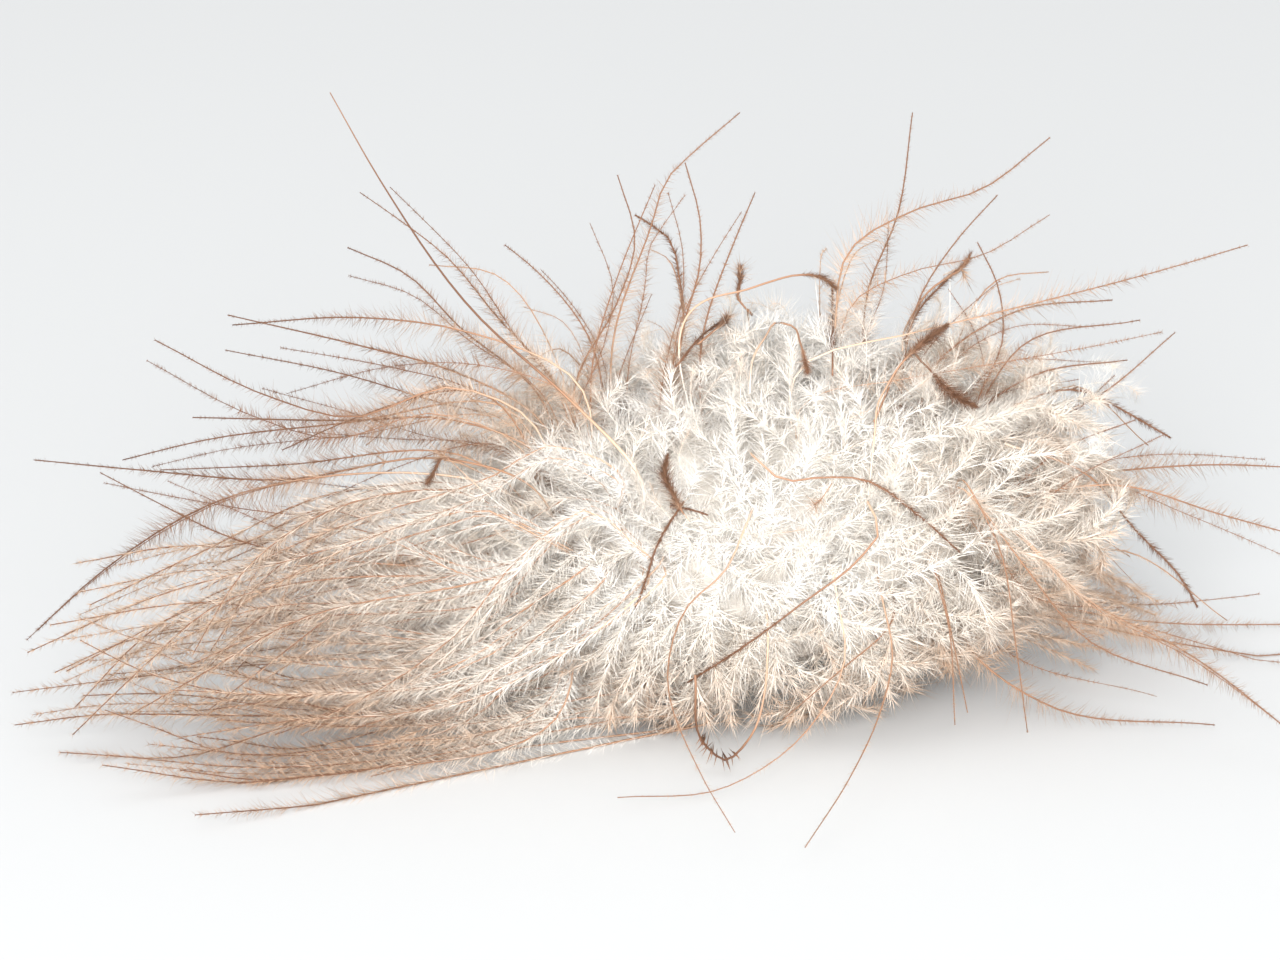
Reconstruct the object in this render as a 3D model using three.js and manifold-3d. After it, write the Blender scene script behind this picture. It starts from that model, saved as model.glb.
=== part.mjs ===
// A down feather lying on a table: a soft oval mass of white down from which long barbs
// reach out on every side, gathered on the left into a brown brush.
// Millimetres, +Z up, +X along the feather. The origin is on the table, on the patch where the
// mass rests.
// The whole feather grew as one piece, so everything is joined into one solid.
import * as THREE from "three";
import { mergeVertices } from "three/addons/utils/BufferGeometryUtils.js";
import Module from "manifold-3d";

const wasm = await Module();
wasm.setup();

// Driving dimensions
const mass = { centre: [2.4, 0.2, 6.6], half: [13.8, 8.4, 7.7], across: 24, around: 14 };
const lobe = { depth: 0.055, along: 5, round: 4 };
const barb = { sides: 5, rootRadius: 0.42, tipRadius: 0.1, spacing: 3.1, clearance: 0.03 };
const tuft = { sides: 7, steps: 3, clearance: 0.05 };
const shaft = { from: [-5.0, -0.6, 6.0], to: [10.0, 0.4, 7.0] };
const table = { size: 90, height: 60 };

// The front view in which the barbs were measured: 20 degrees above the table, from this
// far away, looking at this point of the picture. Across and up are in millimetres.
const view = { tilt: THREE.MathUtils.degToRad(20), distance: 285, across: -2.4, up: 8.4 };

// A point of the front view, put at its depth behind (+) or before (-) the mass's middle.
function seen(across, up, depth) {
  const sine = Math.sin(view.tilt);
  const cosine = Math.cos(view.tilt);
  const aimHeight = view.up / cosine;
  const eyeDepth = -view.distance * cosine;
  const eyeHeight = aimHeight + view.distance * sine;
  const planeDepth = (up - view.up) * sine;
  const planeHeight = aimHeight + (up - view.up) * cosine;
  const reach = (depth - eyeDepth) / (planeDepth - eyeDepth);
  return new THREE.Vector3(
    view.across + reach * (across - view.across),
    depth,
    eyeHeight + reach * (planeHeight - eyeHeight),
  );
}

// Barbs that show from the front: the depth of root and tip, then the way from root to tip
// as [across, up] pairs.
const brushBarbs = [
  [[-8.0, -7.0], [[-6.2, 5.8], [-8.4, 7.1], [-10.8, 6.8], [-16.0, 5.4], [-22.8, 3.3], [-26.9, 1.5]]],
  [[-6.0, -5.0], [[-9.0, 4.0], [-12.5, 4.0], [-16.0, 4.5], [-20.2, 4.8], [-25.0, 3.8]]],
  [[-6.0, -8.0], [[-9.5, 3.2], [-15.8, 3.2], [-19.8, 3.5], [-26.0, 2.6]]],
  [[-6.0, -9.0], [[-11.2, 8.2], [-13.4, 7.6], [-15.8, 6.3], [-18.4, 4.6], [-20.3, 1.4]]],
  [[-5.0, -7.0], [[-11.5, 5.8], [-17.5, 4.7], [-21.5, 2.7], [-25.0, -0.7]]],
  [[-6.0, -9.0], [[-10.5, 4.6], [-14.0, 4.4], [-18.9, 3.4], [-22.4, 0.9], [-24.8, -1.6]]],
  [[-4.0, -3.0], [[-9.0, 1.0], [-16.0, 0.6], [-23.2, 0.2], [-27.5, -0.1]]],
  [[-8.0, -7.0], [[-10.0, -1.2], [-15.0, -2.3], [-19.5, -2.3], [-23.0, -0.9], [-27.0, -1.4]]],
  [[-7.0, -9.0], [[-10.5, 0.6], [-14.5, -0.1], [-18.9, -0.2], [-22.4, 0.8], [-25.0, 2.0]]],
  [[-8.0, -10.0], [[-10.0, 3.2], [-14.0, 2.6], [-17.6, 2.0], [-20.4, 0.3], [-22.8, -1.2]]],
  [[-8.0, -8.0], [[-9.0, 1.4], [-14.5, -0.7], [-17.2, -1.6], [-21.0, -2.5], [-25.6, -2.5]]],
  [[-8.0, -12.0], [[-1.5, -1.6], [-6.4, -2.7], [-13.4, -3.5], [-18.4, -3.7], [-23.8, -3.1]]],
  [[-7.5, -10.0], [[-1.0, -0.2], [-6.0, -1.0], [-9.9, -2.1], [-14.5, -3.0], [-22.5, -2.6]]],
  [[-9.3, -9.5], [[-2.4, 3.6], [-5.6, 1.3], [-9.9, -0.6], [-16.0, -1.4], [-20.8, -1.9]]],
  [[-9.0, -9.5], [[-2.5, 5.6], [-4.0, 7.1], [-7.3, 5.0], [-10.0, 1.9], [-14.0, -1.0], [-17.0, -1.9]]],
  [[-7.5, -7.0], [[-4.2, 9.2], [-5.6, 9.9], [-9.9, 8.0], [-15.1, 6.1], [-19.3, 4.4], [-22.5, 2.4]]],
  [[-9.0, -15.0], [[-0.5, -2.2], [-5.6, -3.0], [-11.2, -4.0], [-16.3, -4.6], [-20.2, -5.0]]],
];
const leftBarbs = [
  [[-7.5, -4.0], [[-2.4, 8.6], [-5.0, 11.6], [-9.0, 15.2], [-12.6, 19.6], [-14.7, 23.9]]],
  [[-1.0, 1.0], [[-5.6, 12.4], [-7.5, 13.5], [-9.5, 16.3], [-11.5, 18.1], [-13.6, 19.9]]],
  [[0.0, 3.0], [[-8.5, 13.6], [-10.2, 15.0], [-12.6, 17.1], [-14.2, 17.7]]],
  [[-1.0, -2.0], [[-8.0, 11.2], [-9.6, 12.5], [-11.7, 13.3], [-15.6, 14.1], [-19.0, 15.0]]],
  [[2.0, 5.0], [[-8.0, 10.6], [-10.4, 11.2], [-13.3, 12.2], [-18.1, 13.4]]],
  [[-3.0, -5.0], [[-6.5, 10.2], [-9.5, 10.9], [-13.8, 10.9], [-18.1, 12.1], [-21.4, 13.7]]],
  [[-4.0, -7.0], [[-7.5, 11.4], [-10.6, 12.0], [-12.8, 11.3], [-14.5, 10.5], [-17.5, 9.4]]],
  [[-2.0, -1.0], [[-9.5, 9.6], [-14.0, 10.6], [-18.3, 10.2], [-23.3, 9.2]]],
  [[-3.0, -6.0], [[-10.0, 9.2], [-14.0, 8.9], [-18.4, 8.5], [-22.6, 8.8], [-26.5, 9.2]]],
  [[-5.0, -3.0], [[-11.5, 8.3], [-16.5, 8.5], [-20.6, 6.8], [-23.2, 5.3], [-26.5, 2.4]]],
];
const topBarbs = [
  [[-1.0, 0.0], [[-4.8, 12.4], [-4.0, 14.6], [-2.8, 16.1], [-2.6, 18.2], [-3.3, 20.7]]],
  [[1.0, 3.0], [[-4.0, 13.6], [-2.7, 17.3], [-1.6, 19.8], [0.0, 21.8], [1.6, 23.1]]],
  [[-1.0, -3.0], [[-2.9, 12.6], [-1.5, 15.0], [-0.7, 16.9], [-1.2, 18.1], [-2.6, 19.0]]],
  [[-1.0, -4.0], [[5.4, 13.0], [5.3, 15.3], [4.9, 16.6], [3.4, 16.5], [1.7, 15.9]]],
  [[-2.0, -3.0], [[4.4, 12.8], [9.8, 14.7], [13.9, 15.7], [17.1, 16.3], [21.9, 17.8]]],
  [[2.0, 3.0], [[6.4, 13.2], [7.0, 16.8], [7.7, 18.5], [8.2, 20.2], [8.5, 23.2]]],
  [[1.0, -1.0], [[5.0, 13.4], [6.4, 18.0], [8.5, 19.3], [11.0, 20.0], [14.0, 22.1]]],
  [[0.0, 1.0], [[8.2, 13.0], [9.2, 16.8], [10.5, 18.4], [11.9, 19.8]]],
  [[-1.0, 0.0], [[11.4, 11.2], [12.1, 13.6], [12.0, 15.5], [11.2, 17.8]]],
  [[0.0, 2.0], [[11.4, 11.2], [12.6, 13.5], [14.8, 14.3], [17.5, 14.8]]],
  [[-4.5, -5.0], [[10.4, 10.8], [13.9, 11.8], [16.0, 11.8], [17.6, 10.9], [18.8, 10.0]]],
  [[-7.0, -4.5], [[6.8, 9.0], [7.1, 10.9], [8.1, 13.0], [9.8, 14.6]]],
];
const rightBarbs = [
  [[-5.0, -7.0], [[12.2, 9.6], [14.1, 9.6], [16.6, 7.5], [19.0, 5.0], [19.9, 3.2]]],
  [[-2.0, -1.0], [[13.0, 7.8], [16.0, 8.2], [20.6, 7.1], [26.0, 5.4]]],
  [[2.0, 4.0], [[13.4, 8.2], [18.2, 8.8], [21.4, 8.8], [25.6, 8.9]]],
  [[-7.0, -6.0], [[11.0, 6.6], [13.2, 4.5], [16.0, 1.9], [20.2, 0.2]]],
  [[-5.5, -10.0], [[12.6, 6.4], [15.2, 3.8], [18.0, 2.5], [21.8, -0.3], [25.0, -3.0]]],
  [[3.0, 7.0], [[12.6, 4.4], [18.7, 2.7], [25.5, 2.5]]],
  [[-7.2, -9.5], [[11.0, 7.8], [12.1, 5.0], [12.5, 2.0], [13.1, -1.7]]],
];
const frontBarbs = [
  [[-7.8, -10.0], [[9.0, 5.8], [9.8, 3.0], [10.2, -1.4]]],
  [[-8.0, -18.6], [[7.0, 4.4], [7.7, 1.1], [7.1, -1.1], [5.9, -3.7], [4.1, -6.3]]],
  [[-8.2, -13.0], [[5.3, 4.2], [5.8, 1.6], [4.6, -1.2], [2.5, -3.0], [-0.9, -4.3], [-3.4, -4.3]]],
  [[-7.6, -10.0], [[6.3, 7.4], [7.2, 6.5], [6.2, 5.1], [2.6, 2.4], [-0.4, 0.4]]],
  [[-7.6, -17.0], [[1.9, 6.5], [0.3, 4.2], [-1.1, 1.6], [-1.2, -0.8], [1.4, -5.7]]],
];

// Barbs on the far side, which no front view shows: evenly round the back in rows, each
// leaving the mass at rootShare of its half sizes and ending on a wider oval.
const backRows = [
  { count: 6, from: 18, to: 162, height: 1.2, lift: 2.0, reach: [23.0, 16.5] },
  { count: 5, from: 30, to: 150, height: 8.0, lift: 3.5, reach: [21.0, 15.5] },
  { count: 4, from: 42, to: 138, height: 15.5, lift: 2.5, reach: [18.0, 11.5] },
];
const rootShare = 0.72;

// Blunt tufts of down stand out all over the mass, spread evenly by the golden angle. Each
// starts inside, leans the way the mass is combed, and is as long as its place in the cycle says.
const tufts = {
  count: 46,
  lowest: -0.62,
  rootShare: 0.5,
  reachCycle: [1.2, 1.34, 1.16, 1.42, 1.26],
  lean: [-1.3, 0.0, 0.9],
  rootRadius: 2.5,
  tipRadius: 0.28,
};

// Tufts inside the brown brush on the left: start, end, and the two radii.
const brushTufts = [
  [[-6, -2, 5.4], [-20, -5.5, 2.6], 4.2, 0.5],
  [[-6, -4, 3.6], [-19, -8.4, 1.6], 3.0, 0.4],
  [[-7, 1, 6.4], [-19, -0.5, 8.0], 3.6, 0.4],
  [[-6, -4, 6.0], [-17.5, -7.4, 5.2], 3.0, 0.4],
];

// A mesh's geometry as a solid that can be joined and cut.
function solidOf(geometry) {
  const bare = new THREE.BufferGeometry();
  bare.setAttribute("position", geometry.getAttribute("position"));
  bare.setIndex(geometry.index);
  const merged = mergeVertices(bare, 1e-4);
  return new wasm.Manifold(
    new wasm.Mesh({
      numProp: 3,
      vertProperties: merged.attributes.position.array,
      triVerts: new Uint32Array(merged.index.array),
    }),
  );
}

// A closed tapered tube along a curve. It never dips under the table. Its radius falls as the
// share of the way raised to fullness: 1 makes a cone, and more keeps it thick to near the tip.
function taperedTube(points, rootRadius, tipRadius, fullness, { sides, steps, clearance }) {
  const curve = new THREE.CatmullRomCurve3(points);
  const frames = curve.computeFrenetFrames(steps);
  const positions = [];
  const faces = [];
  for (let i = 0; i <= steps; i++) {
    const share = i / steps;
    const radius = THREE.MathUtils.lerp(rootRadius, tipRadius, share ** fullness);
    const centre = curve.getPointAt(share);
    centre.z = Math.max(centre.z, radius + clearance);
    for (let j = 0; j < sides; j++) {
      const angle = (j / sides) * Math.PI * 2;
      const rim = centre
        .clone()
        .addScaledVector(frames.normals[i], radius * Math.cos(angle))
        .addScaledVector(frames.binormals[i], radius * Math.sin(angle));
      positions.push(rim.x, rim.y, rim.z);
    }
  }
  for (let i = 0; i < steps; i++) {
    for (let j = 0; j < sides; j++) {
      const a = i * sides + j;
      const b = i * sides + ((j + 1) % sides);
      faces.push(a, b, a + sides, b, b + sides, a + sides);
    }
  }
  const last = steps * sides;
  for (let j = 1; j < sides - 1; j++) {
    faces.push(0, j + 1, j);
    faces.push(last, last + j, last + j + 1);
  }
  const geometry = new THREE.BufferGeometry();
  geometry.setAttribute("position", new THREE.Float32BufferAttribute(positions, 3));
  geometry.setIndex(faces);
  return solidOf(geometry);
}

// The oval mass, its surface raised and sunk in soft lobes.
function massSolid() {
  const geometry = new THREE.SphereGeometry(1, mass.across, mass.around);
  const position = geometry.getAttribute("position");
  const point = new THREE.Vector3();
  for (let i = 0; i < position.count; i++) {
    point.fromBufferAttribute(position, i);
    const along = Math.sin(point.x * lobe.along + 1.3);
    const round = Math.cos(Math.atan2(point.z, point.y) * lobe.round);
    const swell = 1 + lobe.depth * along * round * (1 - Math.abs(point.x));
    position.setXYZ(
      i,
      mass.centre[0] + mass.half[0] * swell * point.x,
      mass.centre[1] + mass.half[1] * swell * point.y,
      mass.centre[2] + mass.half[2] * swell * point.z,
    );
  }
  geometry.deleteAttribute("normal");
  geometry.deleteAttribute("uv");
  return solidOf(geometry);
}

// Where a barb that first shows at this point leaves the short shaft inside the mass.
function shaftPoint(shown) {
  const from = new THREE.Vector3(...shaft.from);
  const line = new THREE.Line3(from, new THREE.Vector3(...shaft.to));
  return line.closestPointToPoint(shown, true, new THREE.Vector3());
}

function seenBarb([depths, route]) {
  const lengths = [0];
  for (let i = 1; i < route.length; i++) {
    const step = Math.hypot(route[i][0] - route[i - 1][0], route[i][1] - route[i - 1][1]);
    lengths.push(lengths[i - 1] + step);
  }
  const whole = lengths[lengths.length - 1];
  const points = route.map(([across, up], i) =>
    seen(across, up, THREE.MathUtils.lerp(depths[0], depths[1], lengths[i] / whole)),
  );
  return barbSolid(points);
}

function barbSolid(shown) {
  const points = [shaftPoint(shown[0]), ...shown];
  let length = 0;
  for (let i = 1; i < points.length; i++) {
    length += points[i].distanceTo(points[i - 1]);
  }
  const steps = Math.round(length / barb.spacing);
  return taperedTube(points, barb.rootRadius, barb.tipRadius, 1, { ...barb, steps });
}

function backBarbs() {
  const solids = [];
  for (const row of backRows) {
    for (let i = 0; i < row.count; i++) {
      const share = i / (row.count - 1);
      const angle = THREE.MathUtils.degToRad(THREE.MathUtils.lerp(row.from, row.to, share));
      const stagger = i % 2 ? 1 : 0.88;
      const outward = [Math.cos(angle), Math.sin(angle)];
      const root = new THREE.Vector3(
        mass.centre[0] + mass.half[0] * rootShare * outward[0],
        mass.centre[1] + mass.half[1] * rootShare * outward[1],
        THREE.MathUtils.lerp(mass.centre[2], row.height, 0.4),
      );
      const tip = new THREE.Vector3(
        mass.centre[0] + row.reach[0] * stagger * outward[0],
        row.reach[1] * stagger * outward[1],
        row.height,
      );
      const middle = root.clone().lerp(tip, 0.55);
      middle.z += row.lift;
      solids.push(barbSolid([root, middle, tip]));
    }
  }
  return solids;
}

function brushTuft([start, end, rootRadius, tipRadius]) {
  const points = [new THREE.Vector3(...start), new THREE.Vector3(...end)];
  return taperedTube(points, rootRadius, tipRadius, 1, tuft);
}

function spreadTufts() {
  const solids = [];
  const centre = new THREE.Vector3(...mass.centre);
  const half = new THREE.Vector3(...mass.half);
  const golden = Math.PI * (3 - Math.sqrt(5));
  for (let i = 0; i < tufts.count; i++) {
    const up = THREE.MathUtils.lerp(1, tufts.lowest, (i + 0.5) / tufts.count);
    const flat = Math.sqrt(1 - up * up);
    const way = new THREE.Vector3(flat * Math.cos(golden * i), flat * Math.sin(golden * i), up);
    const reach = tufts.reachCycle[i % tufts.reachCycle.length];
    const surface = way.clone().multiply(half);
    const lean = new THREE.Vector3(...tufts.lean).multiplyScalar(flat);
    const start = surface.clone().multiplyScalar(tufts.rootShare).add(centre);
    const middle = surface.clone().multiplyScalar(0.9).add(centre);
    const end = surface.clone().multiplyScalar(reach).add(centre).add(lean);
    const points = [start, middle, end];
    solids.push(taperedTube(points, tufts.rootRadius, tufts.tipRadius, 1.6, tuft));
  }
  return solids;
}

function aboveTable(solid) {
  const space = new THREE.BoxGeometry(table.size, table.size, table.height);
  space.translate(0, 0, table.height / 2);
  space.deleteAttribute("normal");
  space.deleteAttribute("uv");
  return solid.intersect(solidOf(space));
}

function geometryOf(solid) {
  const { numProp, vertProperties, triVerts } = solid.getMesh();
  const positions = new Float32Array((vertProperties.length / numProp) * 3);
  for (let i = 0; i < positions.length / 3; i++) {
    positions.set(vertProperties.subarray(i * numProp, i * numProp + 3), i * 3);
  }
  const geometry = new THREE.BufferGeometry();
  geometry.setAttribute("position", new THREE.BufferAttribute(positions, 3));
  geometry.setIndex(new THREE.BufferAttribute(new Uint32Array(triVerts), 1));
  geometry.computeVertexNormals();
  return geometry;
}

const traced = [brushBarbs, leftBarbs, topBarbs, rightBarbs, frontBarbs].flat();
const grown = [
  ...brushTufts.map(brushTuft),
  ...spreadTufts(),
  ...traced.map(seenBarb),
  ...backBarbs(),
];
let feather = massSolid();
for (const solid of grown) {
  feather = feather.add(solid);
}
feather = aboveTable(feather);

const down = new THREE.MeshStandardMaterial({ color: 0xf3ece0, roughness: 0.9, metalness: 0 });
const downFeather = new THREE.Mesh(geometryOf(feather), down);
downFeather.name = "down_feather";

const model = new THREE.Group();
model.add(downFeather);

export default model;
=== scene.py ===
import bpy
import math
import numpy as np
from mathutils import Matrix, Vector


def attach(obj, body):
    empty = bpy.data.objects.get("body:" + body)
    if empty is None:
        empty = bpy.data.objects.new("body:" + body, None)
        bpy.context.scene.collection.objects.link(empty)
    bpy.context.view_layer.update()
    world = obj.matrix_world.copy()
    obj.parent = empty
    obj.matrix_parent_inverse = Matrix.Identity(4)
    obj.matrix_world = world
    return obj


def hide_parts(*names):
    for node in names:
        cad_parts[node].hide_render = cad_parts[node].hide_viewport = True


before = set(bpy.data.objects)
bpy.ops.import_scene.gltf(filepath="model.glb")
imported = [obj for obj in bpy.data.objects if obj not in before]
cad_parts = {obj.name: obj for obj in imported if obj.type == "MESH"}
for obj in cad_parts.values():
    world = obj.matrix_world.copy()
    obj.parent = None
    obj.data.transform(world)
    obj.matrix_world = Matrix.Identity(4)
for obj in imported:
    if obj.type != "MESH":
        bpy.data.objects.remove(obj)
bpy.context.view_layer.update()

# Lengths are in millimetres here, and become metres when a mesh or the camera is placed.
mm = 0.001
rng = np.random.default_rng(11)

# The photograph's view: how steeply it looks down, from how far, and the point it looks at
# as millimetres across and up in the picture.
view = {"tilt": math.radians(20), "distance": 285, "across": -2.4, "up": 8.4, "width": 51.2}

# The oval mass of white down, a little higher at its right end, and the short shaft inside it
# that every barb grows from.
mass = {
    "centre": np.array([2.4, 0.2, 6.6]),
    "half": np.array([13.8, 8.4, 7.7]),
    "shaftFrom": np.array([-5.0, -0.6, 6.0]),
    "shaftTo": np.array([10.0, 0.4, 7.0]),
    "rightUp": 0.13,
    "lowest": 0.06,
    "rootDepth": 2.5,
}

# What differs from barb to barb and from barbule to barbule: how far, or (least, most).
variation = {
    "barbShift": 0.04,  # share of its length by which a barb's brownness is shifted
    "barbLight": (0.91, 0.97),
    "barbuleLength": (0.6, 1.2),  # as a share of the length its group gives
    "barbuleBend": 0.14,  # how far its tip strays, as a share of its length
    "barbuleLean": 0.16,  # in radians, where its group says nothing
    "barbuleBrown": 0.03,
    "barbuleLight": 0.016,
    "fanPower": 1.3,  # a companion's fan grows by this power of the share of its length
    "bendShare": 0.5,  # and bends by this share of its group's wander
    "companionLength": (0.7, 1.0),
}

# Least heights over the table: of a shaft, of a barbule's three root corners, and of its tip,
# which has a random height more.
clear = {"shaft": 0.005, "barbuleRoot": [0.004, 0.012, 0.02], "barbuleTip": 0.02, "tipMore": 0.05}

# How far apart a face's corners lie on the colour map, so that no face is a mere point there.
apart = {
    "ring": 0.006,
    "aroundBrown": 0.004,
    "aroundLight": 0.005,
    "barbuleBrown": [0, 0.006, 0.012],
    "barbuleLight": [0, 0.004, 0.008, 0.002, 0.006],
    "edge": 0.005,  # and every corner lies this far inside the map
}

viewAlong = np.array([0, math.cos(view["tilt"]), -math.sin(view["tilt"])])
viewUp = np.array([0, math.sin(view["tilt"]), math.cos(view["tilt"])])
viewAim = np.array([view["across"], 0, view["up"] / math.cos(view["tilt"])])
eye = viewAim - viewAlong * view["distance"]


# The line of sight through a point of the picture: from the eye to the plane through the aim.
def sightTo(across, up):
    across, up = np.asarray(across, float), np.asarray(up, float)
    target = viewAim + (up - view["up"])[:, None] * viewUp
    target[:, 0] += across - view["across"]
    return target - eye


# Points of the picture put at known depths: the line of sight is cut where its Y is the depth.
def atDepth(across, up, depth):
    sight = sightTo(across, up)
    return eye + sight * ((depth - eye[1]) / sight[:, 1])[:, None]


# Points of the picture laid on the mass: the near root of the sight line's equation with the
# ellipsoid, or the closest approach where the line misses it.
def onMass(across, up, lift):
    sight = sightTo(across, up)
    half = mass["half"] + lift
    start, step = (eye - mass["centre"]) / half, sight / half
    a = (step ** 2).sum(1)
    b = (step * start).sum(1)
    c = (start ** 2).sum() - 1
    reach = (-b - np.sqrt(np.maximum(b * b - a * c, 0))) / a
    return eye + sight * reach[:, None]


# A smooth path through a few points, evenly spaced: cubic Hermite pieces whose slope at each
# point comes from its neighbours.
def smoothPath(points, count):
    p = np.asarray(points, float)
    step = np.linalg.norm(np.diff(p, axis=0), axis=1)
    at = np.concatenate([[0], np.cumsum(step)])
    slope = np.gradient(p, at, axis=0)
    t = np.linspace(0, at[-1], count)
    i = np.clip(np.searchsorted(at, t, side="right") - 1, 0, len(step) - 1)
    h, u = step[i][:, None], ((t - at[i]) / step[i])[:, None]
    return ((2 * u**3 - 3 * u**2 + 1) * p[i] + (u**3 - 2 * u**2 + u) * h * slope[i]
            + (3 * u**2 - 2 * u**3) * p[i + 1] + (u**3 - u**2) * h * slope[i + 1])


# Vectors divided by their lengths.
def unit(vectors):
    return vectors / np.maximum(np.linalg.norm(vectors, axis=-1, keepdims=True), 1e-9)


# Unit vectors along each path and two across it. The second is the path's direction crossed
# with one vector of its own, random plus facing times the view's direction, so that rows of
# barbules lie at any roll or spread to both sides of their barb in the picture.
def pathFrames(paths, facing=0):
    along = unit(np.gradient(paths, axis=1))
    chord = unit(paths[:, -1] - paths[:, 0])
    own = rng.normal(size=chord.shape) + facing * viewAlong
    own = unit(own - (own * chord).sum(1, keepdims=True) * chord)
    side = unit(np.cross(along, own[:, None, :]))
    return along, side, np.cross(side, along)


# A made piece: blocks of vertices in millimetres, their faces, and a colour place for each
# vertex. The place's U says how brown it is, from white to nearly black, and its V how light.
def makePiece(name, blocks):
    mesh = bpy.data.meshes.new(name)
    vertices = np.concatenate([b["vertices"] for b in blocks])
    shift = np.cumsum([0] + [len(b["vertices"]) for b in blocks[:-1]])
    faces = [f + s for b, s in zip(blocks, shift) for f in b["faces"]]
    loops = np.concatenate([f.ravel() for f in faces])
    sizes = np.concatenate([np.full(len(f), f.shape[1]) for f in faces])
    place = np.clip(np.concatenate([b["place"] for b in blocks]), apart["edge"], 1 - apart["edge"])
    mesh.vertices.add(len(vertices))
    mesh.vertices.foreach_set("co", (vertices * mm).astype(np.float32).ravel())
    mesh.loops.add(len(loops))
    mesh.loops.foreach_set("vertex_index", loops.astype(np.int32))
    mesh.polygons.add(len(sizes))
    mesh.polygons.foreach_set("loop_start", (np.cumsum(sizes) - sizes).astype(np.int32))
    mesh.update(calc_edges=True)
    uv = mesh.uv_layers.new(name="OFBake")
    uv.data.foreach_set("uv", place[loops].astype(np.float32).ravel())
    mesh.materials.append(down)
    piece = bpy.data.objects.new(name, mesh)
    bpy.context.scene.collection.objects.link(piece)
    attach(piece, "root")
    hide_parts("down_feather")
    print(name, "made,", int((sizes - 2).sum()), "triangles")


# Shafts as closed tubes: ring point = path point + radius (cos a side + sin a up), the radius
# going evenly from the root's to the tip's. The first barbs can be stouter than the others.
def shaftBlock(paths, brown, light, look):
    count, steps = paths.shape[:2]
    sides = look["sides"]
    _, side, up = pathFrames(paths)
    share = np.linspace(0, 1, steps)
    stout = np.ones(count)
    stout[look.get("stoutest", 0):] = look.get("others", 1.0)
    radius = look["root"] + (look["tip"] - look["root"]) * share
    radius = (stout[:, None] * radius)[:, :, None, None]
    a = np.arange(sides) * 2 * np.pi / sides
    around = np.cos(a)[:, None] * side[:, :, None] + np.sin(a)[:, None] * up[:, :, None]
    rings = paths[:, :, None] + radius * around
    b, i, j = np.meshgrid(np.arange(count), np.arange(steps - 1), np.arange(sides), indexing="ij")
    first = (b * steps + i) * sides
    after = (j + 1) % sides
    walls = np.stack([first + j, first + after, first + sides + after, first + sides + j], -1)
    roots = np.arange(count)[:, None] * steps * sides + np.arange(sides)[::-1]
    tips = (np.arange(count)[:, None] * steps + steps - 1) * sides + np.arange(sides)
    ring = apart["ring"] * (np.arange(steps) % 2)[None, :, None]
    u = brown[:, :, None] + ring + apart["aroundBrown"] * np.cos(a)
    v = np.broadcast_to(light[:, None, None] + apart["aroundLight"] * np.sin(a), u.shape)
    vertices = rings.reshape(-1, 3)
    vertices[:, 2] = np.maximum(vertices[:, 2], clear["shaft"])
    return {
        "vertices": vertices,
        "faces": [walls.reshape(-1, 4), np.concatenate([roots, tips])],
        "place": np.stack([u, v], -1).reshape(-1, 2),
    }


# Each path's length: the sum of the distances from point to point.
def lengthsOf(paths):
    return np.linalg.norm(np.diff(paths, axis=1), axis=2).sum(1)


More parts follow.
